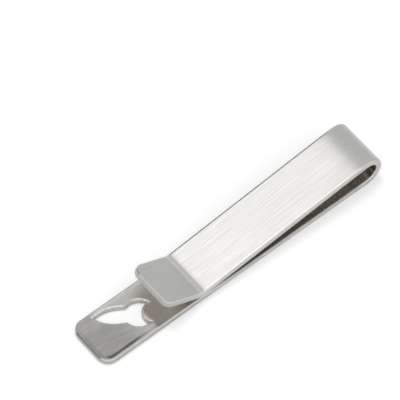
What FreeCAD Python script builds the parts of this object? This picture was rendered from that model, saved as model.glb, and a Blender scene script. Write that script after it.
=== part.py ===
import FreeCAD, Part
import os

import Sketcher

# Tie clip: a strip of sheet steel, pierced with a rocket-shaped hole and folded into a spring clip.
# Millimetres and degrees. +X runs along the clip towards its return fold and +Z up from the
# front face, which lies on z = 0. The origin is under the middle of the clip.

# Driving sizes: alias, value and meaning
SIZES = [
    ("strip_width", "8.7", "width of the strip, the same all along it"),
    ("strip_thickness", "1.1", "thickness of the sheet"),
    ("overall_length", "54.5", "free end of the front bar to the outside of the return fold"),
    ("fold_inner_radius", "1.92", "inside radius of the return fold"),
    ("arm_reach", "35.3", "outside of the return fold to the middle of the grip bend"),
    ("grip_bend_radius", "1.0", "inside radius of the grip bend, on its upper side"),
    ("grip_clearance", "0.08", "gap left between the grip bend and the front bar at rest"),
    ("lip_angle", "30.5", "slope of the thumb lip above the front bar"),
    ("lip_length", "7.6", "flat of the thumb lip, from the grip bend to its tip"),
    ("bar_corner_radius", "2.0", "corners of the front bar's free end"),
    ("lip_corner_radius", "1.45", "corners of the thumb lip's tip"),
    ("arris_radius", "0.25", "rounding of the strip's long edges and ends"),
    ("cutout_length", "8.6", "rocket-shaped hole, nose to fin tips"),
    ("cutout_tilt", "32.0", "lean of the rocket from the length of the bar"),
    ("nose_end_margin", "3.75", "free end of the bar to the rocket's nose"),
    ("nose_side_margin", "0.93", "long edge of the bar to the rocket's nose"),
    ("nose_length", "3.7", "curved nose of the rocket"),
    ("hull_width", "2.75", "width of the rocket's straight hull"),
    ("fin_length", "3.5", "fin tips to the root of the fins"),
    ("fin_span", "4.55", "width across the swell of the fins"),
    ("fin_swell", "1.8", "fin tips to the swell of the fins"),
    ("fin_tip_span", "3.5", "width between the fin tips"),
    ("tail_depth", "1.2", "depth of the hollow between the fin tips"),
]

# Sizes that follow from the driving ones: alias and formula.
# The arm is the straight line that touches the return fold from above and the grip bend from below.
LAYOUT = [
    ("fold_outer_radius", "=Sizes.fold_inner_radius + Sizes.strip_thickness"),
    ("fold_centre_x", "=Sizes.overall_length / 2 - fold_outer_radius"),
    ("bar_flat", "=Sizes.overall_length - fold_outer_radius"),
    ("grip_outer_radius", "=Sizes.grip_bend_radius + Sizes.strip_thickness"),
    ("grip_centre_x", "=Sizes.overall_length / 2 - Sizes.arm_reach"),
    ("grip_centre_z", "=Sizes.strip_thickness + Sizes.grip_clearance + grip_outer_radius"),
    ("centres_run", "=fold_centre_x - grip_centre_x"),
    ("centres_rise", "=grip_centre_z - fold_outer_radius"),
    ("tangent_offset", "=fold_outer_radius + Sizes.grip_bend_radius"),
    ("arm_flat", "=sqrt(centres_run ^ 2 + centres_rise ^ 2 - tangent_offset ^ 2)"),
    ("arm_slope", "=atan2(tangent_offset; arm_flat) - atan2(centres_rise; centres_run)"),
    ("lip_slope", "=Sizes.lip_angle * 1 deg"),
    ("rocket_lean", "=Sizes.cutout_tilt * 1 deg"),
    ("half_hull", "=Sizes.hull_width / 2"),
    ("half_nose", "=Sizes.nose_length / 2"),
    ("nose_radius", "=(Sizes.nose_length ^ 2 + half_hull ^ 2) / Sizes.hull_width"),
    ("nose_swell", "=half_hull - nose_radius + sqrt(nose_radius ^ 2 - half_nose ^ 2)"),
]

# Origins of the pieces: the end of the bar's flat and the centres of the two bends
BAR_END = ("Layout.fold_centre_x", "0", "0")
FOLD_CENTRE = ("Layout.fold_centre_x", "0", "Layout.fold_outer_radius")
GRIP_CENTRE = ("Layout.grip_centre_x", "0", "Layout.grip_centre_z")

ACROSS = FreeCAD.Vector(0, 1, 0)
NO_TURN = "0 deg"
QUARTER_TURN = "90 deg"
START, END = 1, 2
ORIGIN_POINT = (-1, 1)
SAME_PLACE = 1e-6

document = FreeCAD.newDocument("tie_clip")


def add_sheet(name, rows):
    sheet = document.addObject("Spreadsheet::Sheet", name)
    for number, row in enumerate(rows, start=1):
        for column, text in zip("ABC", row):
            sheet.set(f"{column}{number}", text)
        sheet.setAlias(f"B{number}", row[0])
    document.recompute()


def add_body(label, place, turn):
    """A piece of the strip, with its own origin at place and turned about the Y axis."""
    body = document.addObject("PartDesign::Body", label)
    body.Label = label
    body.Placement = FreeCAD.Placement(FreeCAD.Vector(), FreeCAD.Rotation(ACROSS, 1))
    for coordinate, formula in zip("xyz", place):
        body.setExpression(f"Placement.Base.{coordinate}", formula)
    body.setExpression("Placement.Rotation.Angle", turn)
    return body


def add_sketch(body, name):
    sketch = body.newObject("Sketcher::SketchObject", name)
    plane = next(item for item in body.Origin.OriginFeatures if item.Role == "XY_Plane")
    sketch.AttachmentSupport = (plane, "")
    sketch.MapMode = "FlatFace"
    return sketch


def place_of(sketch, formulas):
    """Where a pair of formulas puts a point of a sketch."""
    x, y = (float(sketch.evalExpression(formula)) for formula in formulas)
    return FreeCAD.Vector(x, y, 0)


def end_at(sketch, curve, corner):
    """Which end of a curve lies at a corner."""
    return min((START, END), key=lambda end: sketch.getPoint(curve, end).distanceToPoint(corner))


def pin(sketch, curve, end, formulas):
    """Hold a point at its two distances from the sketch's origin."""
    for kind, formula in zip(("DistanceX", "DistanceY"), formulas):
        value = float(sketch.evalExpression(formula))
        index = sketch.addConstraint(Sketcher.Constraint(kind, *ORIGIN_POINT, curve, end, value))
        sketch.setExpression(f"Constraints[{index}]", formula)


def draw_outline(sketch, corners, swells):
    """A closed outline. swells holds a point on the side after each corner, or None if it is straight."""
    points = [place_of(sketch, corner) for corner in corners]
    sides = []
    for start, end, swell in zip(points, points[1:] + points[:1], swells):
        side = Part.Arc(start, place_of(sketch, swell), end) if swell else Part.LineSegment(start, end)
        sides.append(sketch.addGeometry(side, False))
    for number, corner in enumerate(points):
        side, before = sides[number], sides[number - 1]
        starting, ending = end_at(sketch, side, corner), end_at(sketch, before, corner)
        sketch.addConstraint(Sketcher.Constraint("Coincident", side, starting, before, ending))
        pin(sketch, side, starting, corners[number])
    for side, swell in zip(sides, swells):
        if swell:
            mark = sketch.addGeometry(Part.Point(place_of(sketch, swell)), True)
            pin(sketch, mark, START, swell)
            sketch.addConstraint(Sketcher.Constraint("PointOnObject", mark, START, side))


def draw_rectangle(sketch, left, right):
    """A rectangle as wide as the strip."""
    far, near = "Sizes.strip_width / 2", "-Sizes.strip_width / 2"
    corners = [(left, near), (right, near), (right, far), (left, far)]
    draw_outline(sketch, corners, [None] * len(corners))


def upright_edge(edge):
    """An upright edge at the free end of a flat."""
    first, last = (vertex.Point for vertex in edge.Vertexes)
    return abs(last.z - first.z) > SAME_PLACE and first.x < -SAME_PLACE


def level_edge(edge):
    """An edge round the top or the bottom of a flat, but not where a bend starts at its origin."""
    first, last = (vertex.Point for vertex in edge.Vertexes)
    return abs(last.z - first.z) < SAME_PLACE and min(first.x, last.x) < -SAME_PLACE


def long_edge(edge):
    """A straight edge along the length of a flat."""
    first, last = (vertex.Point for vertex in edge.Vertexes)
    return abs(last.x - first.x) > SAME_PLACE


def curved_edge(edge):
    """An edge round a bend."""
    return isinstance(edge.Curve, Part.Circle)


def round_edges(body, chosen, radius):
    """Round the chosen edges of a piece."""
    document.recompute()
    base = body.Tip
    names = [f"Edge{number}" for number, edge in enumerate(base.Shape.Edges, start=1) if chosen(edge)]
    fillet = body.newObject("PartDesign::Fillet", f"{body.Label}_{chosen.__name__}s")
    fillet.Base = (base, names)
    fillet.setExpression("Radius", radius)


def add_flat(label, place, turn, length, floor):
    """A flat stretch of the strip, reaching along its own -X from a bend at its origin."""
    body = add_body(label, place, turn)
    sketch = add_sketch(body, f"{label}_outline")
    sketch.setExpression("AttachmentOffset.Base.z", floor)
    draw_rectangle(sketch, f"-{length}", "0")
    plate = body.newObject("PartDesign::Pad", f"{label}_plate")
    plate.Profile = sketch
    plate.setExpression("Length", "Sizes.strip_thickness")
    return body


def add_bend(label, place, turn, inner_radius, sweep, upward):
    """A bend of the strip about the Y axis through its origin, starting from its own +X."""
    body = add_body(label, place, turn)
    sketch = add_sketch(body, f"{label}_section")
    draw_rectangle(sketch, inner_radius, f"{inner_radius} + Sizes.strip_thickness")
    bend = body.newObject("PartDesign::Revolution", f"{label}_turn")
    bend.Profile = sketch
    bend.ReferenceAxis = (sketch, ["V_Axis"])
    bend.Reversed = upward
    bend.setExpression("Angle", sweep)
    round_edges(body, curved_edge, "Sizes.arris_radius")


def other_side(formulas):
    """The same point on the near side of the rocket."""
    along, across = formulas
    return (along, f"-{across}")


def pierce_rocket(body):
    """Cut the rocket-shaped hole, drawn along its own +X from the nose to the fin tips."""
    document.recompute()
    whole = body.Tip.Shape.Volume
    sketch = add_sketch(body, "rocket_outline")
    sketch.setExpression("AttachmentOffset.Base.x", "Sizes.nose_end_margin - Layout.bar_flat")
    sketch.setExpression("AttachmentOffset.Base.y", "Sizes.strip_width / 2 - Sizes.nose_side_margin")
    sketch.setExpression("AttachmentOffset.Rotation.Angle", "-Layout.rocket_lean")
    nose = ("0", "0")
    nose_swell = ("Layout.half_nose", "Layout.nose_swell")
    shoulder = ("Sizes.nose_length", "Layout.half_hull")
    fin_root = ("Sizes.cutout_length - Sizes.fin_length", "Layout.half_hull")
    fin_swell = ("Sizes.cutout_length - Sizes.fin_swell", "Sizes.fin_span / 2")
    fin_tip = ("Sizes.cutout_length", "Sizes.fin_tip_span / 2")
    tail_hollow = ("Sizes.cutout_length - Sizes.tail_depth", "0")
    near_side = [other_side(corner) for corner in (shoulder, fin_root, fin_tip)]
    corners = [nose, *near_side, fin_tip, fin_root, shoulder]
    swells = [other_side(nose_swell), None, other_side(fin_swell), tail_hollow, fin_swell, None, nose_swell]
    draw_outline(sketch, corners, swells)
    hole = body.newObject("PartDesign::Pocket", "rocket_hole")
    hole.Profile = sketch
    hole.Type = "ThroughAll"
    hole.Reversed = True
    document.recompute()
    if whole - hole.Shape.Volume < SAME_PLACE:
        raise RuntimeError("the rocket-shaped hole cuts nothing")


def add_front_bar():
    bar = add_flat("front_bar", BAR_END, NO_TURN, "Layout.bar_flat", "0")
    round_edges(bar, upright_edge, "Sizes.bar_corner_radius")
    round_edges(bar, level_edge, "Sizes.arris_radius")
    pierce_rocket(bar)


def add_return_fold():
    """The fold in two halves: one stays with the bar, the other flexes and carries the arm."""
    radius = "Sizes.fold_inner_radius"
    rest_of_fold = f"{QUARTER_TURN} + Layout.arm_slope"
    add_bend("front_bend", FOLD_CENTRE, NO_TURN, radius, QUARTER_TURN, False)
    add_bend("spring_bend", FOLD_CENTRE, NO_TURN, radius, rest_of_fold, True)


def add_clip_arm():
    floor = "Sizes.fold_inner_radius"
    arm = add_flat("clip_arm", FOLD_CENTRE, "-Layout.arm_slope", "Layout.arm_flat", floor)
    round_edges(arm, long_edge, "Sizes.arris_radius")


def add_grip_bend():
    square_to_arm = f"{QUARTER_TURN} - Layout.arm_slope"
    sweep = "Layout.arm_slope + Layout.lip_slope"
    add_bend("grip_bend", GRIP_CENTRE, square_to_arm, "Sizes.grip_bend_radius", sweep, False)


def add_thumb_lip():
    floor = "-Layout.grip_outer_radius"
    lip = add_flat("thumb_lip", GRIP_CENTRE, "Layout.lip_slope", "Sizes.lip_length", floor)
    round_edges(lip, upright_edge, "Sizes.lip_corner_radius")
    round_edges(lip, level_edge, "Sizes.arris_radius")


def checked_pieces():
    """Every piece of the clip, once nothing in the document has failed."""
    document.recompute()
    for item in document.Objects:
        if "Invalid" in item.State or "Error" in item.State:
            raise RuntimeError(f"{item.Label} failed: {item.State}")
    pieces = [item for item in document.Objects if item.isDerivedFrom("PartDesign::Body")]
    for piece in pieces:
        if piece.Shape.isNull() or not piece.Shape.isValid():
            raise RuntimeError(f"{piece.Label} has no valid solid")
    return pieces


add_sheet("Sizes", SIZES)
add_sheet("Layout", LAYOUT)
add_front_bar()
add_return_fold()
add_clip_arm()
add_grip_bend()
add_thumb_lip()

os.makedirs("parts", exist_ok=True)
for piece in checked_pieces():
    piece.Shape.exportStep(f"parts/{piece.Label}.step")
    print(f"{piece.Label}: {piece.Shape.Volume:.2f} cubic millimetres")
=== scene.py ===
import math
from collections import namedtuple

import bpy
from mathutils import Matrix, Vector
from mathutils.geometry import tessellate_polygon


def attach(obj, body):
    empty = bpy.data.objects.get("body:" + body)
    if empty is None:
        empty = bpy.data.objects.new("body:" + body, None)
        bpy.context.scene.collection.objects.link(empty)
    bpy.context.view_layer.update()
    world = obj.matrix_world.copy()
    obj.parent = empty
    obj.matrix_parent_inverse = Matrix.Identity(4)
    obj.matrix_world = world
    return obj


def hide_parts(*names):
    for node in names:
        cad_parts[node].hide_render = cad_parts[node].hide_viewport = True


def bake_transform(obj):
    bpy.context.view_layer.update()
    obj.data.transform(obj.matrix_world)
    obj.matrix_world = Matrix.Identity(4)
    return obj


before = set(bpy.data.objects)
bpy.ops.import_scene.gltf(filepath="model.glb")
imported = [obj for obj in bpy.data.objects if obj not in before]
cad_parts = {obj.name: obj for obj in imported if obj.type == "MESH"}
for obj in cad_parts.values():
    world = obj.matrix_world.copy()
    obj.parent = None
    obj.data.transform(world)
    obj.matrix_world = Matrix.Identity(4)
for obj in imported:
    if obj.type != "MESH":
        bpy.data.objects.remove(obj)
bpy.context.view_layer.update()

# A slide-on tie clip: one strip of brushed steel, pierced near its free end and folded into a spring.
# Its outside is the front of the bar, the outside of the return fold, the top of the arm and of the lip.
# Its inside is the other face. Its near side is at -y, and its far side at +y, by the hole's nose.
# Metres, in the frame of the solids.

MM = 0.001
QUARTER = math.pi / 2
TO_FOLD, ACROSS, UP = Vector((1, 0, 0)), Vector((0, 1, 0)), Vector((0, 0, 1))
NEAR, FAR = -1, 1

# Sizes of the strip and its bends
STRIP_WIDTH = 8.7 * MM
STRIP_THICKNESS = 1.1 * MM
OVERALL_LENGTH = 54.5 * MM
FOLD_INSIDE = 1.92 * MM
ARM_REACH = 35.3 * MM
GRIP_INSIDE = 1.0 * MM
GRIP_CLEARANCE = 0.08 * MM
LIP_ANGLE = math.radians(30.5)
LIP_LENGTH = 7.6 * MM
BAR_CORNER = 2.0 * MM
LIP_NEAR_CORNER = 1.2 * MM
LIP_FAR_CORNER = 2.0 * MM

# Its edges: the rounding, how far in the belt rolls the outside over, and how wide the rim is
ARRIS = 0.25 * MM
ROLL = 0.4 * MM
RIM_BAND = 0.7 * MM
FAR_RIM_BAND = 0.04 * MM

# The rocket-shaped hole: the rounding of its edges outside and inside, and its sizes from the nose
HOLE_ARRIS = 0.07 * MM
HOLE_ROLL = 0.3 * MM
HOLE_LENGTH = 8.6 * MM
HOLE_TILT = math.radians(-32.0)
NOSE_FROM_END = 3.75 * MM
NOSE_FROM_SIDE = 0.93 * MM
NOSE_LENGTH = 3.7 * MM
HULL_WIDTH = 2.75 * MM
FIN_LENGTH = 3.5 * MM
FIN_SPAN = 4.55 * MM
FIN_SWELL = 1.8 * MM
FIN_TIP_SPAN = 3.5 * MM
TAIL_DEPTH = 1.2 * MM

# What follows from them
HALF_WIDTH = STRIP_WIDTH / 2
FOLD_OUTSIDE = FOLD_INSIDE + STRIP_THICKNESS
GRIP_OUTSIDE = GRIP_INSIDE + STRIP_THICKNESS
BAR_FLAT = OVERALL_LENGTH - FOLD_OUTSIDE
FOLD_CENTRE = Vector((OVERALL_LENGTH / 2 - FOLD_OUTSIDE, 0, FOLD_OUTSIDE))
GRIP_HEIGHT = STRIP_THICKNESS + GRIP_CLEARANCE + GRIP_OUTSIDE
GRIP_CENTRE = Vector((OVERALL_LENGTH / 2 - ARM_REACH, 0, GRIP_HEIGHT))
CENTRES = FOLD_CENTRE - GRIP_CENTRE
ARM_FLAT = math.sqrt(CENTRES.length_squared - (FOLD_OUTSIDE + GRIP_INSIDE) ** 2)
ARM_SLOPE = math.atan2(FOLD_OUTSIDE + GRIP_INSIDE, ARM_FLAT) + math.atan2(CENTRES.z, CENTRES.x)
ARM_TURN = QUARTER + ARM_SLOPE
ARM_OUT = Vector((-math.sin(ARM_SLOPE), 0, math.cos(ARM_SLOPE)))
LIP_OUT = Vector((math.sin(LIP_ANGLE), 0, math.cos(LIP_ANGLE)))

# The arm isn't dead straight: it eases down where it leaves the fold and up where it meets the crease
EASE_DROP = 0.1 * MM
EASE_LENGTH = FOLD_OUTSIDE * ARM_TURN
FLARE_RISE = 0.024 * MM
FLARE_LENGTH = 1.2 * MM

# Where each stretch starts along the strip, measured on its outside from the free end
FOLD_START = BAR_FLAT
SPRING_START = FOLD_START + FOLD_OUTSIDE * QUARTER
ARM_START = FOLD_START + FOLD_OUTSIDE * (math.pi + ARM_SLOPE)
GRIP_START = ARM_START + ARM_FLAT
LIP_START = GRIP_START + GRIP_INSIDE * (ARM_SLOPE + LIP_ANGLE)

# Finishes, by their place in a piece's list of materials
OUTSIDE, INSIDE, EDGE, PIERCED = range(4)

# Into how many steps its round stretches are divided
ARRIS_STEPS = 8
CORNER_STEPS = 24
HOLE_EDGE_STEPS = 5
NOSE_STEPS = 20
FIN_STEPS = 24
TAIL_STEPS = 20
FOLD_STEPS = 40
CREASE_STEPS = 16
EASE_STEPS = 16
FLARE_STEPS = 6

# How many of the edge's steps the brushing belt still reaches
BELT_STEPS = 3

# The hole's rounding is mitred where two of its sides meet, and this keeps a sharp corner's mitre short
MITRE_LIMIT = 0.5

# A step of the strip's edge: place, normal sideways and outward, and way round the strip up to it
EdgeStep = namedtuple("EdgeStep", "inset depth side out girth")
# A step of the hole's wall: place and normal
WallStep = namedtuple("WallStep", "offset depth side out")
# A face of the strip: depth, sign of its normal, the rounding and the edge's step beside it, and finish
FlatFace = namedtuple("FlatFace", "depth sign rounding step finish")
# A place along a stretch of the strip: point and normal of its outside, and distance along the strip
Station = namedtuple("Station", "base out along")
# A place on the outline of a flat, in the flat's own plane: point, outward normal and way from the root
OutlineSpot = namedtuple("OutlineSpot", "x y outward_x outward_y reach")


class Piece:
    """A mesh in the making: points, and faces with their normals, strip coordinates and finish."""

    def __init__(self, name):
        self.name = name
        self.points, self.rims = [], []
        self.faces, self.normals, self.places, self.finishes = [], [], [], []

    def point(self, position, rim):
        """Add a point. rim is 1 on the strip's edge and 0 away from it."""
        self.points.append(position)
        self.rims.append(rim)
        return len(self.points) - 1

    def face(self, corners, normals, places, finish):
        """Add a face, turned so that it faces the way its normals point."""
        a, b, c = (self.points[corner] for corner in corners[:3])
        facing = (b - a).cross(c - b)
        if facing.dot(sum(normals, Vector())) < 0:
            corners, normals, places = corners[::-1], normals[::-1], places[::-1]
        self.faces.append(corners)
        self.normals.extend(normals)
        self.places.extend(places)
        self.finishes.append(finish)

    def made(self, finishes):
        """The finished object, with its strip coordinates in millimetres."""
        mesh = bpy.data.meshes.new(self.name)
        mesh.from_pydata(self.points, [], self.faces)
        layer = mesh.uv_layers.new(name="strip")
        for loop, (across, along) in zip(layer.uv, self.places):
            loop.vector = (across / MM, along / MM)
        rim = mesh.attributes.new("rim", "FLOAT", "POINT")
        rim.data.foreach_set("value", self.rims)
        for finish in finishes:
            mesh.materials.append(finish)
        mesh.polygons.foreach_set("material_index", self.finishes)
        mesh.polygons.foreach_set("use_smooth", [True] * len(mesh.polygons))
        mesh.validate()
        mesh.normals_split_custom_set([normal.normalized() for normal in self.normals])
        made = bpy.data.objects.new(self.name, mesh)
        bpy.context.scene.collection.objects.link(made)
        return made


def edge_profile():
    """The steps of the rounded edge from outside to inside. The brushing belt rolls the outside over
    further in from the edge than it is deep."""
    turns = [QUARTER * step / ARRIS_STEPS for step in range(ARRIS_STEPS + 1)]
    rounds = [(ROLL * (1 - math.sin(turn)), ARRIS * (1 - math.cos(turn)),
               ARRIS * math.sin(turn), ROLL * math.cos(turn)) for turn in turns]
    rounds += [(ARRIS * (1 - math.cos(turn)), STRIP_THICKNESS - ARRIS * (1 - math.sin(turn)),
                math.cos(turn), -math.sin(turn)) for turn in turns]
    profile, girth = [], 0
    for number, (inset, depth, side, out) in enumerate(rounds):
        if number:
            girth += math.dist((inset, depth), rounds[number - 1][:2])
        length = math.hypot(side, out)
        profile.append(EdgeStep(inset, depth, side / length, out / length, girth))
    return profile


EDGE_PROFILE = edge_profile()
LAST_STEP = len(EDGE_PROFILE) - 1
HALF_GIRTH = 2 * HALF_WIDTH - ROLL - ARRIS + EDGE_PROFILE[LAST_STEP].girth
FACES = {"out": FlatFace(0, 1, ROLL, 0, OUTSIDE),
         "in": FlatFace(STRIP_THICKNESS, -1, ARRIS, LAST_STEP, INSIDE)}


def band_inset(name, sideways):
    """How far from its edge a face's rim ends. sideways is -1 at the near edge and 1 at the far one."""
    if name == "out":
        return ROLL + FAR_RIM_BAND
    return ARRIS + RIM_BAND + (FAR_RIM_BAND - RIM_BAND) * max(sideways, 0)


def edge_place(side, step, along):
    """Strip coordinates on an edge: the way round the strip from the middle of its outside, and along it."""
    return side * (HALF_WIDTH - ROLL + EDGE_PROFILE[step].girth), along


def face_place(name, y, along):
    """Strip coordinates on a face."""
    return y if name == "out" else HALF_GIRTH - y, along


def edge_finish(step):
    return OUTSIDE if step < BELT_STEPS else EDGE


def section_ring(piece, station):
    """The points of one section of the strip, by side and by step of the edge or name of the face."""
    ring = {}
    for side in (FAR, NEAR):
        for number, step in enumerate(EDGE_PROFILE):
            place = station.base + ACROSS * side * (HALF_WIDTH - step.inset) - station.out * step.depth
            ring[side, number] = piece.point(place, 1)
        for name, face in FACES.items():
            reach = HALF_WIDTH - band_inset(name, side)
            ring[side, name] = piece.point(station.base + ACROSS * side * reach - station.out * face.depth, 0)
    return ring


def sweep(name, stations):
    """A stretch of the strip with the same section all along."""
    piece = Piece(name)
    rings = [section_ring(piece, station) for station in stations]
    for before, after, station, following in zip(rings, rings[1:], stations, stations[1:]):
        for side in (FAR, NEAR):
            for number in range(LAST_STEP):
                around = ((number, before, station), (number + 1, before, station),
                          (number + 1, after, following), (number, after, following))
                corners = [ring[side, step] for step, ring, _ in around]
                normals = [ACROSS * side * EDGE_PROFILE[step].side + spot.out * EDGE_PROFILE[step].out
                           for step, _, spot in around]
                places = [edge_place(side, step, spot.along) for step, _, spot in around]
                piece.face(corners, normals, places, edge_finish(number))
        for face_name, face in FACES.items():
            row = [((FAR, face.step), HALF_WIDTH - face.rounding),
                   ((FAR, face_name), HALF_WIDTH - band_inset(face_name, FAR)),
                   ((NEAR, face_name), band_inset(face_name, NEAR) - HALF_WIDTH),
                   ((NEAR, face.step), face.rounding - HALF_WIDTH)]
            for left, right in zip(row, row[1:]):
                around = ((left, before, station), (right, before, station),
                          (right, after, following), (left, after, following))
                corners = [ring[key] for (key, _), ring, _ in around]
                normals = [spot.out * face.sign for _, _, spot in around]
                places = [face_place(face_name, y, spot.along) for (_, y), _, spot in around]
                piece.face(corners, normals, places, face.finish)
    close_end(piece, rings[0], stations[0].base - stations[1].base)
    close_end(piece, rings[-1], stations[-1].base - stations[-2].base)
    return piece


def close_end(piece, ring, facing):
    """The face that closes a stretch of the strip where the next one starts."""
    corners = [ring[FAR, "out"], *(ring[FAR, step] for step in range(LAST_STEP + 1)), ring[FAR, "in"],
               ring[NEAR, "in"], *(ring[NEAR, step] for step in range(LAST_STEP, -1, -1)), ring[NEAR, "out"]]
    piece.face(corners, [facing] * len(corners), [(0, 0)] * len(corners), EDGE)


def plate_outline(length, near_corner, far_corner):
    """Outline of a flat with a rounded free end, from the near end of its root round to the far end.
    The root is at x = 0 and the free end at x = -length."""
    halves = []
    for side, corner in ((NEAR, near_corner), (FAR, far_corner)):
        half = [OutlineSpot(0, side * HALF_WIDTH, 0, side, 0)]
        straight = length - corner
        for step in range(CORNER_STEPS + 1):
            turn = QUARTER * step / CORNER_STEPS
            x = -straight - corner * math.sin(turn)
            y = side * (HALF_WIDTH - corner * (1 - math.cos(turn)))
            half.append(OutlineSpot(x, y, -math.sin(turn), side * math.cos(turn), straight + corner * turn))
        halves.append(half)
    near, far = halves
    return near + far[::-1]


def inset_spot(spot, inset):
    """The point of a flat that lies inward of a spot of its outline."""
    return spot.x - spot.outward_x * inset, spot.y - spot.outward_y * inset


def plate(name, length, roundings, base, forward, out, along_at, hole=()):
    """A flat of the strip with a rounded free end and, if given, a hole. forward runs to its root, and
    along_at turns a place along the flat into one along the strip."""
    piece = Piece(name)

    def at(x, y, depth):
        return base + forward * x + ACROSS * y - out * depth

    outline = plate_outline(length, *roundings)
    rows = []
    for spot in outline:
        row = {number: piece.point(at(*inset_spot(spot, step.inset), step.depth), 1)
               for number, step in enumerate(EDGE_PROFILE)}
        for face_name, face in FACES.items():
            band = band_inset(face_name, spot.outward_y)
            row[face_name] = piece.point(at(*inset_spot(spot, band), face.depth), 0)
        rows.append(row)
    for number, (here, there) in enumerate(zip(rows, rows[1:])):
        first, second = outline[number:number + 2]
        side = NEAR if number < len(outline) // 2 else FAR
        for step in range(LAST_STEP):
            around = ((step, here, first), (step + 1, here, first),
                      (step + 1, there, second), (step, there, second))
            corners = [row[edge] for edge, row, _ in around]
            normals = [(forward * spot.outward_x + ACROSS * spot.outward_y) * EDGE_PROFILE[edge].side
                       + out * EDGE_PROFILE[edge].out for edge, _, spot in around]
            places = [edge_place(side, edge, along_at(-spot.reach)) for edge, _, spot in around]
            piece.face(corners, normals, places, edge_finish(step))
        for face_name, face in FACES.items():
            corners = [here[face.step], here[face_name], there[face_name], there[face.step]]
            bands = [band_inset(face_name, spot.outward_y) for spot in (first, second)]
            spots = [inset_spot(first, face.rounding), inset_spot(first, bands[0]),
                     inset_spot(second, bands[1]), inset_spot(second, face.rounding)]
            places = [face_place(face_name, y, along_at(x)) for x, y in spots]
            piece.face(corners, [out * face.sign] * 4, places, face.finish)
    near, far = rows[0], rows[-1]
    ring = {(side, key): row[key] for side, row in ((NEAR, near), (FAR, far)) for key in row}
    close_end(piece, ring, forward)
    rims = pierce(piece, at, forward, out, hole) if hole else {}
    for face_name, face in FACES.items():
        loops = [[row[face_name] for row in rows]]
        if hole:
            loops.append(rims[face_name])
        order = [number for loop in loops for number in loop]
        flat = {}
        for number in order:
            offset = piece.points[number] - base
            flat[number] = Vector((offset.dot(forward), offset.dot(ACROSS), 0))
        for triangle in tessellate_polygon([[flat[number] for number in loop] for loop in loops]):
            corners = [order[index] for index in triangle]
            places = [face_place(face_name, flat[corner].y, along_at(flat[corner].x)) for corner in corners]
            piece.face(corners, [out * face.sign] * 3, places, face.finish)
    return piece


def arc_through(start, middle, end, steps):
    """Points along the arc from start through middle to end, and the way along at each."""
    ax, ay = start
    bx, by = middle
    cx, cy = end
    a_square, b_square, c_square = ax * ax + ay * ay, bx * bx + by * by, cx * cx + cy * cy
    span = 2 * (ax * (by - cy) + bx * (cy - ay) + cx * (ay - by))
    ux = (a_square * (by - cy) + b_square * (cy - ay) + c_square * (ay - by)) / span
    uy = (a_square * (cx - bx) + b_square * (ax - cx) + c_square * (bx - ax)) / span
    radius = math.dist(start, (ux, uy))
    full = 2 * math.pi
    first = math.atan2(ay - uy, ax - ux)
    turn = (math.atan2(cy - uy, cx - ux) - first) % full
    halfway = (math.atan2(by - uy, bx - ux) - first) % full
    if halfway > turn:
        turn -= full
    angles = [first + turn * step / steps for step in range(steps + 1)]
    points = [(ux + radius * math.cos(angle), uy + radius * math.sin(angle)) for angle in angles]
    ways = [Vector((-math.sin(angle), math.cos(angle))) * math.copysign(1, turn) for angle in angles]
    return points, ways


def rocket_outline():
    """The hole's outline in the bar's own plane, as sides of points with the way along at each."""
    half_hull = HULL_WIDTH / 2
    nose_radius = (NOSE_LENGTH ** 2 + half_hull ** 2) / HULL_WIDTH
    nose_swell = half_hull - nose_radius + math.sqrt(nose_radius ** 2 - (NOSE_LENGTH / 2) ** 2)
    fin_root = HOLE_LENGTH - FIN_LENGTH
    fin_swell = HOLE_LENGTH - FIN_SWELL
    hollow = HOLE_LENGTH - TAIL_DEPTH
    far = [
        ((0, 0), (NOSE_LENGTH / 2, nose_swell), (NOSE_LENGTH, half_hull), NOSE_STEPS),
        ((NOSE_LENGTH, half_hull), None, (fin_root, half_hull), 1),
        ((fin_root, half_hull), (fin_swell, FIN_SPAN / 2), (HOLE_LENGTH, FIN_TIP_SPAN / 2), FIN_STEPS),
    ]
    near = [((ax, -ay), middle and (middle[0], -middle[1]), (bx, -by), steps)
            for (bx, by), middle, (ax, ay), steps in reversed(far)]
    tail = ((HOLE_LENGTH, FIN_TIP_SPAN / 2), (hollow, 0), (HOLE_LENGTH, -FIN_TIP_SPAN / 2), TAIL_STEPS)
    sides = []
    for start, middle, end, steps in [*far, tail, *near]:
        if middle:
            sides.append(arc_through(start, middle, end, steps))
        else:
            way = (Vector(end) - Vector(start)).normalized()
            sides.append(([start, end], [way, way]))
    turn = Matrix.Rotation(HOLE_TILT, 2)
    nose = Vector((NOSE_FROM_END - BAR_FLAT, HALF_WIDTH - NOSE_FROM_SIDE))
    return [([turn @ Vector(point) + nose for point in points], [turn @ way for way in ways])
            for points, ways in sides]


def wall_profile():
    """The steps of the hole's wall from outside to inside: a small rounding and then a wider one."""
    turns = [QUARTER * step / HOLE_EDGE_STEPS for step in range(HOLE_EDGE_STEPS + 1)]
    outer = [WallStep(HOLE_ARRIS * (1 - math.sin(turn)), HOLE_ARRIS * (1 - math.cos(turn)),
                      math.sin(turn), math.cos(turn)) for turn in turns]
    inner = [WallStep(HOLE_ROLL * (1 - math.cos(turn)), STRIP_THICKNESS - HOLE_ROLL * (1 - math.sin(turn)),
                      math.cos(turn), -math.sin(turn)) for turn in turns]
    return outer + inner


def metal_side(way):
    """The way from a point of the hole's outline into the metal, to the left of the way along."""
    return Vector((-way.y, way.x))


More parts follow.
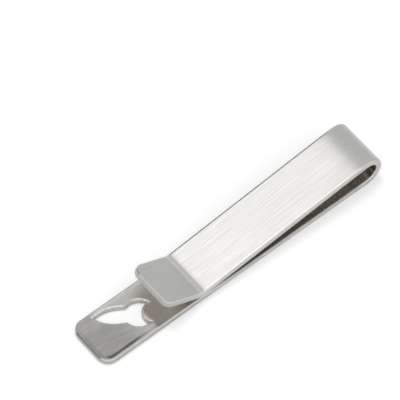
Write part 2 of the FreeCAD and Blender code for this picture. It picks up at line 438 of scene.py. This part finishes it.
def pierce(piece, at, forward, out, hole):
    """The walls of a hole, and the points of its rim on each face."""
    profile = wall_profile()
    spots = []
    for (points, ways), (_, last_ways) in zip(hole, [hole[-1]] + hole[:-1]):
        for number, point in enumerate(points[:-1]):
            metal = metal_side(ways[number])
            if number == 0:
                metal = metal + metal_side(last_ways[-1])
                metal = metal / max(MITRE_LIMIT, metal.dot(metal_side(ways[0])))
            spots.append((point, metal))
    columns = [[piece.point(at(*(point + metal * step.offset), step.depth), 0) for step in profile]
               for point, metal in spots]
    column, travelled = 0, 0
    for points, ways in hole:
        for number in range(len(points) - 1):
            here, there = columns[column], columns[(column + 1) % len(columns)]
            reach = (points[number + 1] - points[number]).length
            for step in range(len(profile) - 1):
                corners = [here[step], here[step + 1], there[step + 1], there[step]]
                around = ((step, number), (step + 1, number), (step + 1, number + 1), (step, number + 1))
                normals = []
                for wall, end in around:
                    metal = metal_side(ways[end])
                    inward = -(forward * metal.x + ACROSS * metal.y)
                    normals.append(inward * profile[wall].side + out * profile[wall].out)
                places = [(profile[wall].depth, travelled + reach * (end - number)) for wall, end in around]
                piece.face(corners, normals, places, EDGE if step < HOLE_EDGE_STEPS else PIERCED)
            column, travelled = column + 1, travelled + reach
    return {"out": [row[0] for row in columns], "in": [row[-1] for row in columns]}


def bend_stations(centre, radius, first, last, start, steps, hollow=1):
    """Stations round a bend. hollow is -1 where the outside of the strip is on the inside of the bend."""
    stations = []
    for step in range(steps + 1):
        angle = first + (last - first) * step / steps
        ray = Vector((math.cos(angle), 0, math.sin(angle)))
        stations.append(Station(centre + ray * radius, ray * hollow, start + radius * abs(angle - first)))
    return stations


def ease(height, length, share):
    """How far a cubic ease has moved after a share of its length, and how much it tilts there."""
    return height * share ** 3, 3 * height * share ** 2 / length


def leaned(out, tilt):
    """An outward normal, tilted about the strip's width."""
    return Matrix.Rotation(tilt, 3, "Y") @ out


def eased_fold(stations):
    """Let the outside of the fold draw in a little towards the arm."""
    eased = []
    for number, (base, out, along) in enumerate(stations):
        drop, tilt = ease(EASE_DROP, EASE_LENGTH, number / (len(stations) - 1))
        eased.append(Station(base - out * drop, leaned(out, tilt), along))
    return eased


def arm_stations(start, end):
    """Stations along the arm, from the fold to the crease, easing out of the one and into the other."""
    stations = []
    for step in range(EASE_STEPS + 1):
        share = step / EASE_STEPS
        reach = EASE_LENGTH * share
        drop, tilt = ease(EASE_DROP, EASE_LENGTH, 1 - share)
        base = start.lerp(end, reach / ARM_FLAT) - ARM_OUT * drop
        stations.append(Station(base, leaned(ARM_OUT, tilt), ARM_START + reach))
    for step in range(FLARE_STEPS + 1):
        share = step / FLARE_STEPS
        reach = ARM_FLAT - FLARE_LENGTH * (1 - share)
        lift, tilt = ease(FLARE_RISE, FLARE_LENGTH, share)
        base = start.lerp(end, reach / ARM_FLAT) + ARM_OUT * lift
        stations.append(Station(base, leaned(ARM_OUT, tilt), ARM_START + reach))
    return stations


def flared_crease(stations):
    """Let the crease take up the arm's rise and tilt."""
    lift, tilt = ease(FLARE_RISE, FLARE_LENGTH, 1)
    flared = []
    for number, (base, out, along) in enumerate(stations):
        left = 1 - number / (len(stations) - 1)
        flared.append(Station(base + out * lift * left, leaned(out, tilt * left), along))
    return flared


def feed(tree, socket, value):
    """Link a socket to another one, or set its value."""
    if isinstance(value, bpy.types.NodeSocket):
        tree.links.new(value, socket)
    else:
        socket.default_value = value


def set_values(node, **values):
    for name, value in values.items():
        node.inputs[name].default_value = value


def add_node(tree, kind, **settings):
    node = tree.nodes.new(kind)
    for name, value in settings.items():
        setattr(node, name, value)
    return node


def math_node(tree, operation, *values):
    node = add_node(tree, "ShaderNodeMath", operation=operation)
    for socket, value in zip(node.inputs, values):
        feed(tree, socket, value)
    return node.outputs[0]


def product(tree, first, *others):
    for other in others:
        first = math_node(tree, "MULTIPLY", first, other)
    return first


def ramp(tree, value, low, high, to_low, to_high):
    """A smooth change from to_low, where value is low, to to_high, where it is high."""
    node = add_node(tree, "ShaderNodeMapRange", interpolation_type="SMOOTHSTEP")
    for socket, number in zip(node.inputs, (value, low, high, to_low, to_high)):
        feed(tree, socket, number)
    return node.outputs["Result"]


def rise(tree, value, low, high):
    return ramp(tree, value, low, high, 0.0, 1.0)


def fall(tree, value, low, high):
    return ramp(tree, value, low, high, 1.0, 0.0)


def between(tree, value, starts, full, fades, gone):
    """1 from full to fades, and 0 before starts and after gone."""
    return product(tree, rise(tree, value, starts, full), fall(tree, value, fades, gone))


def mix_colours(tree, factor, first, second, blend_type="MIX"):
    """first where factor is 0, and second, or first times second, where it is 1."""
    node = add_node(tree, "ShaderNodeMix", data_type="RGBA", blend_type=blend_type, clamp_factor=True)
    sockets = {socket.identifier: socket for socket in node.inputs}
    for name, value in (("Factor_Float", factor), ("A_Color", first), ("B_Color", second)):
        feed(tree, sockets[name], value)
    return next(socket for socket in node.outputs if socket.identifier == "Result_Color")


def new_group(name, inputs):
    """A node group with float inputs, and the node that gives them."""
    group = bpy.data.node_groups.new(name, "ShaderNodeTree")
    for label, value in inputs.items():
        socket = group.interface.new_socket(label, in_out="INPUT", socket_type="NodeSocketFloat")
        socket.default_value = value
    return group, group.nodes.new("NodeGroupInput")


def put_out(group, masks):
    """Give a node group a float output for each mask."""
    for label in masks:
        group.interface.new_socket(label, in_out="OUTPUT", socket_type="NodeSocketFloat")
    result = group.nodes.new("NodeGroupOutput")
    for label, mask in masks.items():
        group.links.new(mask, result.inputs[label])


def strip_coordinates(group):
    """Millimetres round the strip from the middle of its outside, and along it from the free end."""
    strip = add_node(group, "ShaderNodeUVMap", uv_map="strip")
    split = add_node(group, "ShaderNodeSeparateXYZ")
    group.links.new(strip.outputs["UV"], split.inputs[0])
    return split.outputs["X"], split.outputs["Y"]


def flat_noise(group, x, y, detail, roughness):
    spot = add_node(group, "ShaderNodeCombineXYZ")
    group.links.new(x, spot.inputs["X"])
    group.links.new(y, spot.inputs["Y"])
    noise = add_node(group, "ShaderNodeTexNoise", noise_dimensions="2D")
    set_values(noise, Scale=1.0, Detail=detail, Roughness=roughness)
    group.links.new(spot.outputs[0], noise.inputs["Vector"])
    return noise.outputs["Fac"]


def brush_group():
    """Marks of a brushing belt along the strip: lines, the tone of the wider streaks, and their depth."""
    line_detail, streak_detail, roughness = 4.0, 2.0, 0.6
    faint, strong = 0.28, 0.72
    line_share, streak_share = 0.65, 0.35
    group, given = new_group("brush marks", {"Lines per mm": 8.0, "Line length": 9.0,
                                             "Streaks per mm": 2.2, "Streak length": 22.0})
    across, along = strip_coordinates(group)
    marks = {}
    for label, density, length, detail in (("Lines", "Lines per mm", "Line length", line_detail),
                                           ("Streaks", "Streaks per mm", "Streak length", streak_detail)):
        x = math_node(group, "MULTIPLY", across, given.outputs[density])
        y = math_node(group, "DIVIDE", along, given.outputs[length])
        marks[label] = rise(group, flat_noise(group, x, y, detail, roughness), faint, strong)
    marks["Depth"] = math_node(group, "ADD", math_node(group, "MULTIPLY", marks["Lines"], line_share),
                               math_node(group, "MULTIPLY", marks["Streaks"], streak_share))
    put_out(group, marks)
    return group


# Places on the strip, in the millimetres of its coordinates
INSIDE_MIDDLE = HALF_GIRTH / MM
INSIDE_EDGE = (HALF_GIRTH - HALF_WIDTH + ARRIS) / MM
NEAR_ROLL = (ROLL - HALF_WIDTH) / MM
FOLD_AT, ARM_AT = FOLD_START / MM, ARM_START / MM
CREASE_AT, LIP_AT = GRIP_START / MM, LIP_START / MM


def painted_rim_highlight(group, rim, along):
    """A painted highlight: the rim of the inside is painted lighter, from a little way off the free end."""
    lit_band, past_end = (0.7, 0.95), (0.6, 1.4)
    return product(group, rise(group, rim, *lit_band), rise(group, along, *past_end))


def rim_line(group, rim, noise, across, along):
    """A dark line beside the rim of the inside, all but along its far side. It is weak at the free end,
    stronger past the corner and weak again further along, and it is a little broken."""
    line = (0.0, 0.34, 0.64, 0.87)
    off_far_side = (INSIDE_MIDDLE - 3.6, INSIDE_MIDDLE - 2.6)
    end, end_tones = (0.35, 0.6), (0.5, 0.12)
    corner, corner_tones = (0.9, 1.5), (0.0, 0.85)
    further, further_tones = (5.0, 9.0), (1.0, 0.2)
    broken, broken_tones = (0.2, 0.6), (0.6, 1.0)
    tone = math_node(group, "ADD", ramp(group, along, *end, *end_tones),
                     ramp(group, along, *corner, *corner_tones))
    return product(group, between(group, rim, *line), rise(group, across, *off_far_side), tone,
                   ramp(group, along, *further, *further_tones), ramp(group, noise, *broken, *broken_tones))


def painted_end_shade(group, across, along):
    """Painted shade: the end, and the near half of the inside by the hole, are painted darker."""
    near_half = (INSIDE_MIDDLE - 4.2, INSIDE_MIDDLE - 0.5)
    beside_hole, beside_tones = (4.5, 10.5), (1.0, 0.1)
    tip, tip_tones = (2.8, 5.0), (0.75, 0.0)
    side = product(group, rise(group, across, *near_half), ramp(group, along, *beside_hole, *beside_tones))
    return math_node(group, "MAXIMUM", side, ramp(group, along, *tip, *tip_tones))


def painted_fold_shade(group, along):
    """Painted shade in the depth of the fold, less a painted highlight at its two mouths."""
    mouth_share = 0.7
    half_fold = (ARM_AT - FOLD_AT) / 2
    depth = (half_fold - 2.2, half_fold - 1.2)
    mouth = (half_fold - 1.2, half_fold - 0.4, half_fold + 0.2, half_fold + 1.6)
    from_middle = math_node(group, "ABSOLUTE", math_node(group, "SUBTRACT", along, FOLD_AT + half_fold))
    lit_mouths = math_node(group, "MULTIPLY", between(group, from_middle, *mouth), mouth_share)
    return math_node(group, "SUBTRACT", fall(group, from_middle, *depth), lit_mouths)


def painted_far_margin_light(group, across, along):
    """The narrow margin of the inside between the hole and the far side, painted lighter: a painted
    reflection.
    """
    margin, beside_hole = (INSIDE_MIDDLE - 4.0, INSIDE_MIDDLE - 3.3), (2.8, 4.5, 12.0, 18.0)
    return product(group, fall(group, across, *margin), between(group, along, *beside_hole))


def painted_crease_highlight(group, along):
    """Two steps of painted highlight on the crease."""
    step_tones = (0.0, 0.5)
    start, end, lip = (CREASE_AT, CREASE_AT + 0.25), (LIP_AT - 0.2, LIP_AT), (LIP_AT + 0.1, LIP_AT + 0.35)
    steps = math_node(group, "ADD", ramp(group, along, *start, *step_tones),
                      ramp(group, along, *end, *step_tones))
    return product(group, steps, fall(group, along, *lip))


def painted_edge_highlight(group, across, along):
    """A painted highlight along the near edge of the arm's outside, less a painted darker line beside it."""
    dark_share = 0.5
    highlight = (NEAR_ROLL - 0.3, NEAR_ROLL - 0.15, NEAR_ROLL - 0.02, NEAR_ROLL + 0.02)
    dark_line = (NEAR_ROLL, NEAR_ROLL + 0.1, NEAR_ROLL + 0.2, NEAR_ROLL + 0.4)
    on_arm = (ARM_AT - 1.0, ARM_AT + 1.0, CREASE_AT - 1.0, CREASE_AT)
    beside = math_node(group, "MULTIPLY", between(group, across, *dark_line), dark_share)
    edge = math_node(group, "SUBTRACT", between(group, across, *highlight), beside)
    return product(group, edge, between(group, along, *on_arm))


def painted_arris_shade(group, across, along):
    """Painted shade on the inside arris at the free end and along the gap."""
    gap_share = 0.5
    arris = (INSIDE_EDGE - 0.36, INSIDE_EDGE - 0.2)
    end, gap = (-0.9, -0.3), (16.0, 26.0, FOLD_AT - 2.0, FOLD_AT)
    in_gap = math_node(group, "MULTIPLY", between(group, along, *gap), gap_share)
    place = math_node(group, "ADD", fall(group, along, *end), in_gap)
    return product(group, rise(group, math_node(group, "ABSOLUTE", across), *arris), place)


def tarnish_and_shade_group():
    """Tone of handled steel: uneven clouds, and a mask for each kind of mark on the strip, most of them
    painted shade or painted highlights.
    """
    cloud_detail, cloud_roughness, cloudy = 3.0, 0.55, (0.3, 0.7)
    # From here along, under the arm, the inside is painted darker: painted shade between the bar and the arm.
    shade_from = (15.0, 24.0)
    group, given = new_group("tarnish_and_shade", {"Cloud size": 5.0})
    across, along = strip_coordinates(group)
    x, y = (math_node(group, "DIVIDE", way, given.outputs["Cloud size"]) for way in (across, along))
    noise = flat_noise(group, x, y, cloud_detail, cloud_roughness)
    rim = add_node(group, "ShaderNodeAttribute", attribute_name="rim").outputs["Fac"]
    put_out(group, {
        "Cloud": rise(group, noise, *cloudy),
        "Rim highlight": painted_rim_highlight(group, rim, along),
        "Rim line": rim_line(group, rim, noise, across, along),
        "Shaded end": painted_end_shade(group, across, along),
        "Shaded inside": rise(group, along, *shade_from),
        "Shaded fold": painted_fold_shade(group, along),
        "Lit far margin": painted_far_margin_light(group, across, along),
        "Crease highlight": painted_crease_highlight(group, along),
        "Edge highlight": painted_edge_highlight(group, across, along),
        "Shaded arris": painted_arris_shade(group, across, along),
    })
    return group


# How far brush lines change a steel's roughness either way, and how deep they are
ROUGHNESS_SPREAD = 0.04
BRUSH_DEPTH = 0.01 * MM


def steel(name, groups, brushing, tone, dark_tone, dullness_and_shade, roughness, bump,
          wear=0.0, anisotropy=0.0, warm_tint=None):
    """Worn steel. Its tone falls to the darker tone by wear, and by the share given for each kind of mark:
    brush marks, clouds, painted shade, and painted highlights with negative shares. A warm tint, if given,
    warms the inside where it is painted shaded under the arm."""
    material = bpy.data.materials.new(name)
    material.use_nodes = True
    tree = material.node_tree
    shader = tree.nodes["Principled BSDF"]
    set_values(shader, Metallic=1.0, Anisotropic=anisotropy)
    brush = add_node(tree, "ShaderNodeGroup", node_tree=groups["brush"])
    for label, value in brushing.items():
        brush.inputs[label].default_value = value
    tarnish_and_shade = add_node(tree, "ShaderNodeGroup", node_tree=groups["tarnish_and_shade"])
    dull_and_shade = wear
    for mark, share in dullness_and_shade.items():
        source = brush if mark in brush.outputs else tarnish_and_shade
        dull_and_shade = math_node(tree, "ADD", math_node(tree, "MULTIPLY", source.outputs[mark], share), dull_and_shade)
    colour = mix_colours(tree, dull_and_shade, (*tone, 1), (*dark_tone, 1))
    if warm_tint:
        colour = mix_colours(tree, tarnish_and_shade.outputs["Shaded inside"], colour, (*warm_tint, 1), "MULTIPLY")
    tree.links.new(colour, shader.inputs["Base Color"])
    spread = ramp(tree, brush.outputs["Lines"], 0.0, 1.0,
                  roughness - ROUGHNESS_SPREAD, roughness + ROUGHNESS_SPREAD)
    tree.links.new(spread, shader.inputs["Roughness"])
    height = add_node(tree, "ShaderNodeBump")
    set_values(height, Strength=bump, Distance=BRUSH_DEPTH)
    tree.links.new(brush.outputs["Depth"], height.inputs["Height"])
    tree.links.new(height.outputs["Normal"], shader.inputs["Normal"])
    if anisotropy:
        tangent = add_node(tree, "ShaderNodeTangent", direction_type="UV_MAP", uv_map="strip")
        tree.links.new(tangent.outputs[0], shader.inputs["Tangent"])
    return material


# Brush marks of each kind of face
BELT_BRUSHING = {"Lines per mm": 10.0, "Line length": 10.0, "Streaks per mm": 2.4, "Streak length": 26.0}
HAND_BRUSHING = {"Lines per mm": 8.0, "Line length": 6.0, "Streaks per mm": 5.0, "Streak length": 2.4}
SHEAR_MARKS = {"Lines per mm": 0.8, "Line length": 0.3, "Streaks per mm": 0.5, "Streak length": 0.9}


def brushed_outside(groups):
    """The face that a belt brushed lengthways, worn even, with painted highlights on the crease and along the
    arm's near edge.
    """
    return steel("brushed_outside", groups, BELT_BRUSHING,
                 tone=(0.95, 0.941, 0.909), dark_tone=(0.45, 0.443, 0.419),
                 dullness_and_shade={"Lines": 0.06, "Streaks": 0.06, "Cloud": 0.03,
                           "Crease highlight": -0.36, "Edge highlight": -0.1},
                 wear=0.34, roughness=0.2, anisotropy=0.98, bump=0.03)


def brushed_inside(groups):
    """The face that was brushed by hand before folding. Painted shade makes it darker and warmer under the
    arm and towards the fold, and darker at its end and in the fold; painted highlights lighten its rim and
    far margin.
    """
    return steel("brushed_inside", groups, HAND_BRUSHING,
                 tone=(0.93, 0.92, 0.887), dark_tone=(0.185, 0.176, 0.158),
                 dullness_and_shade={"Lines": 0.15, "Streaks": 0.12, "Cloud": 0.04, "Rim highlight": -0.15,
                           "Rim line": 0.7, "Shaded end": 0.35, "Shaded inside": 0.35,
                           "Shaded fold": 0.5, "Lit far margin": -0.2},
                 roughness=0.22, anisotropy=0.96, bump=0.05, warm_tint=(1.0, 0.95, 0.9))


def tumbled_and_shaded_edge(groups):
    """The rounded edges, smooth from tumbling. Their tone is set darker than the faces' to darken the strip's
    sides, partly painted shade, and the inside arris carries more painted shade.
    """
    return steel("tumbled_and_shaded_edge", groups, BELT_BRUSHING,
                 tone=(0.70, 0.695, 0.67), dark_tone=(0.24, 0.235, 0.22),
                 dullness_and_shade={"Streaks": 0.09, "Cloud": 0.15, "Shaded arris": 1.0}, roughness=0.26, bump=0.03)


def pierced_wall(groups):
    """The walls of the hole, with the marks of the punch."""
    return steel("pierced_wall", groups, SHEAR_MARKS,
                 tone=(0.90, 0.895, 0.865), dark_tone=(0.48, 0.475, 0.45),
                 dullness_and_shade={"Lines": 0.38, "Streaks": 0.36, "Cloud": 0.1}, roughness=0.36, bump=0.1)


def front_bar_flat():
    """The long front flat, with the hole near its free end."""
    root = Vector((FOLD_CENTRE.x, 0, 0))
    return plate("front_bar_flat", BAR_FLAT, (BAR_CORNER, BAR_CORNER), root, TO_FOLD, -UP,
                 lambda x: BAR_FLAT + x, rocket_outline())


def front_half_of_fold():
    """The half of the return fold that stays with the bar."""
    return sweep("front_half_of_fold", bend_stations(
        FOLD_CENTRE, FOLD_OUTSIDE, -QUARTER, 0, FOLD_START, FOLD_STEPS))


def spring_half_of_fold():
    """The half of the return fold that flexes."""
    return sweep("spring_half_of_fold", eased_fold(bend_stations(
        FOLD_CENTRE, FOLD_OUTSIDE, 0, ARM_TURN, SPRING_START, FOLD_STEPS)))


def back_arm():
    """The arm that runs down from the fold to the bar."""
    start = FOLD_CENTRE + ARM_OUT * FOLD_OUTSIDE
    end = GRIP_CENTRE - ARM_OUT * GRIP_INSIDE
    return sweep("back_arm", arm_stations(start, end))


def grip_crease():
    """The small bend that holds the tie."""
    first, last = ARM_SLOPE - QUARTER, -LIP_ANGLE - QUARTER
    return sweep("grip_crease", flared_crease(bend_stations(
        GRIP_CENTRE, GRIP_INSIDE, first, last, GRIP_START, CREASE_STEPS, hollow=-1)))


def thumb_lip_flat():
    """The raised lip that a thumb lifts."""
    root = GRIP_CENTRE - LIP_OUT * GRIP_INSIDE
    return plate("thumb_lip_flat", LIP_LENGTH, (LIP_NEAR_CORNER, LIP_FAR_CORNER), root,
                 ACROSS.cross(LIP_OUT), LIP_OUT, lambda x: LIP_START - x)


def make_clip():
    """The pieces of the clip, each in the place of its solid."""
    groups = {"brush": brush_group(), "tarnish_and_shade": tarnish_and_shade_group()}
    finishes = [brushed_outside(groups), brushed_inside(groups), tumbled_and_shaded_edge(groups), pierced_wall(groups)]
    for piece, node, body in ((front_bar_flat(), "front_bar", "bar"),
                              (front_half_of_fold(), "front_bend", "bar"),
                              (back_arm(), "clip_arm", "arm"),
                              (grip_crease(), "grip_bend", "arm"),
                              (thumb_lip_flat(), "thumb_lip", "arm")):
        made = piece.made(finishes)
        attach(made, body)
        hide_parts(node)
    flexing = spring_half_of_fold().made(finishes)
    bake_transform(flexing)
    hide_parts("spring_bend")


# The table top: its size, how far below the clip it lies, and its tones along x: a painted fall-off of light
# past the fold, and a painted pool of light beside the bar that also glows in the clip's reflections. To the
# camera it is white, and partly glows.
TABLE_HALF = 1.5
TABLE_DROP = 0.02 * MM
TABLE_FALL_OFF = (40 * MM, 80 * MM)
TABLE_TONE, TABLE_FAR_TONE = 0.64, 0.54
POOL_REACH = (-18 * MM, 0.0, 18 * MM, 36 * MM)
POOL_TONE, POOL_GLOW = 0.12, 0.32
WHITE_GLOW = 0.38


def white_paper():
    """Paper that is white to the camera. The clip mirrors its painted pool of light."""
    material = bpy.data.materials.new("white_paper")
    material.use_nodes = True
    tree = material.node_tree
    tree.nodes.remove(tree.nodes["Principled BSDF"])
    path = add_node(tree, "ShaderNodeLightPath")
    place = add_node(tree, "ShaderNodeNewGeometry")
    split = add_node(tree, "ShaderNodeSeparateXYZ")
    tree.links.new(place.outputs["Position"], split.inputs[0])
    along = split.outputs["X"]
    pool = between(tree, along, *POOL_REACH)
    lit = math_node(tree, "ADD", ramp(tree, along, *TABLE_FALL_OFF, TABLE_TONE, TABLE_FAR_TONE),
                    math_node(tree, "MULTIPLY", pool, POOL_TONE))
    matt = add_node(tree, "ShaderNodeBsdfDiffuse")
    tree.links.new(ramp(tree, path.outputs["Is Camera Ray"], 0.0, 1.0, lit, 1.0), matt.inputs["Color"])
    glow = add_node(tree, "ShaderNodeEmission")
    mirrored = math_node(tree, "MAXIMUM", path.outputs["Is Glossy Ray"], path.outputs["Is Transmission Ray"])
    share = math_node(tree, "MAXIMUM", math_node(tree, "MULTIPLY", path.outputs["Is Camera Ray"], WHITE_GLOW),
                      product(tree, mirrored, pool, POOL_GLOW))
    blend = add_node(tree, "ShaderNodeMixShader")
    tree.links.new(share, blend.inputs["Fac"])
    tree.links.new(matt.outputs[0], blend.inputs[1])
    tree.links.new(glow.outputs[0], blend.inputs[2])
    tree.links.new(blend.outputs[0], tree.nodes["Material Output"].inputs["Surface"])
    return material


def make_table_top():
    """A pale table top that looks white and keeps the clip's shadow."""
    corners = [(x * TABLE_HALF, y * TABLE_HALF, -TABLE_DROP) for x, y in ((-1, -1), (1, -1), (1, 1), (-1, 1))]
    mesh = bpy.data.meshes.new("table_top")
    mesh.from_pydata(corners, [], [(0, 1, 2, 3)])
    mesh.materials.append(white_paper())
    top = bpy.data.objects.new("table_top", mesh)
    bpy.context.scene.collection.objects.link(top)


# Panels of the studio, by the way they are seen from the clip: brightness, and for each measure of that
# way where the panel starts to show, shows fully, starts to fade and is gone. slope is x over z, with z
# at least LEAST_RISE. A later panel covers an earlier one, and the room shows where there is none.
ROOM = 0.16
LEAST_RISE = 0.05
NO_START, NO_END = (-1e4, -1e3), (1e3, 1e4)
STRIP_LIGHT = {"y": (-0.3, 0.0, 0.42, 0.56), "z": (0.2, 0.3, *NO_END)}
PANELS = {
    "far wall by the free end": (0.45, {"slope": (*NO_START, -0.35, -0.15), "y": (0.5, 0.62, *NO_END)}),
    "wall by the fold": (0.58, {"slope": (-0.1, 0.1, *NO_END), "y": (-0.05, 0.15, 0.62, 0.82)}),
    "far wall by the fold": (0.72, {"x": (0.24, 0.3, *NO_END), "y": (0.58, 0.78, *NO_END)}),
    "near wall": (1.00, {"y": (*NO_START, -0.25, 0.08)}),
    "ceiling by the free end": (0.92, {"slope": (*NO_START, -0.02, 0.06), "y": (-0.75, -0.5, 0.42, 0.56)}),
    "edge of the strip light": (1.20, {"slope": (-0.06, 0.0, 0.222, 0.242), **STRIP_LIGHT}),
    "strip light": (1.47, {"slope": (-0.06, 0.0, 0.13, 0.215), **STRIP_LIGHT}),
}

# The soft sun, and the way it shines from
SUN_STRENGTH = 0.91
SUN_ANGLE = math.radians(20)
SUN_FROM = Vector((0.05, 0.22, 0.97))


def mix_levels(tree, level, bright, share):
    """level where share is 0 and bright where it is 1."""
    rest = math_node(tree, "MULTIPLY", math_node(tree, "SUBTRACT", 1.0, share), level)
    return math_node(tree, "ADD", rest, math_node(tree, "MULTIPLY", share, bright))


def make_studio():
    """A long strip light overhead and paler walls round a dim room, and a soft sun for the shadow."""
    world = bpy.data.worlds.new("studio")
    bpy.context.scene.world = world
    world.use_nodes = True
    tree = world.node_tree
    back = tree.nodes["Background"]
    back.inputs["Color"].default_value = (1, 1, 1, 1)
    place = add_node(tree, "ShaderNodeTexCoord")
    split = add_node(tree, "ShaderNodeSeparateXYZ")
    tree.links.new(place.outputs["Generated"], split.inputs[0])
    measures = {axis: split.outputs[axis.upper()] for axis in "xyz"}
    height = math_node(tree, "MAXIMUM", measures["z"], LEAST_RISE)
    measures["slope"] = math_node(tree, "DIVIDE", measures["x"], height)
    level = ROOM
    for bright, reach in PANELS.values():
        shares = [between(tree, measures[measure], *limits) for measure, limits in reach.items()]
        level = mix_levels(tree, level, bright, product(tree, *shares))
    path = add_node(tree, "ShaderNodeLightPath")
    level = mix_levels(tree, level, 1.0, path.outputs["Is Camera Ray"])
    tree.links.new(level, back.inputs["Strength"])
    sun = bpy.data.lights.new("soft_sun", "SUN")
    sun.energy = SUN_STRENGTH
    sun.angle = SUN_ANGLE
    lamp = bpy.data.objects.new("soft_sun", sun)
    lamp.rotation_euler = SUN_FROM.to_track_quat("Z", "Y").to_euler()
    lamp.visible_glossy = False
    bpy.context.scene.collection.objects.link(lamp)


# The camera, as fitted to the clip that lies back up in the photograph. It aims at a point on the table,
# measured from the free end, and its focal length is in pixels of the frame.
CAMERA_AZIMUTH = math.radians(-39.63)
CAMERA_HEIGHT = math.radians(58.469)
CAMERA_ROLL = math.radians(0.313)
CAMERA_DISTANCE = 0.8
CAMERA_AIM = Vector((29.966 * MM - OVERALL_LENGTH / 2, 9.836 * MM, 0))
CAMERA_RANGE = (0.01, 10)
FOCAL_PIXELS = 5205.4
FRAME_PIXELS = 400
SENSOR_WIDTH = 36


def make_camera():
    level, height = math.cos(CAMERA_HEIGHT), math.sin(CAMERA_HEIGHT)
    back = Vector((math.sin(CAMERA_AZIMUTH) * level, -math.cos(CAMERA_AZIMUTH) * level, height))
    right = UP.cross(back).normalized()
    up = back.cross(right)
    turn, lean = math.cos(CAMERA_ROLL), math.sin(CAMERA_ROLL)
    right, up = right * turn + up * lean, up * turn - right * lean
    data = bpy.data.cameras.new("camera")
    data.sensor_width = SENSOR_WIDTH
    data.lens = SENSOR_WIDTH * FOCAL_PIXELS / FRAME_PIXELS
    data.clip_start, data.clip_end = CAMERA_RANGE
    camera = bpy.data.objects.new("camera", data)
    bpy.context.scene.collection.objects.link(camera)
    place = Matrix((right, up, back)).transposed().to_4x4()
    place.translation = CAMERA_AIM + back * CAMERA_DISTANCE
    camera.matrix_world = place
    bpy.context.scene.camera = camera


make_clip()
make_table_top()
make_studio()
make_camera()
bpy.context.scene.view_settings.view_transform = "Standard"
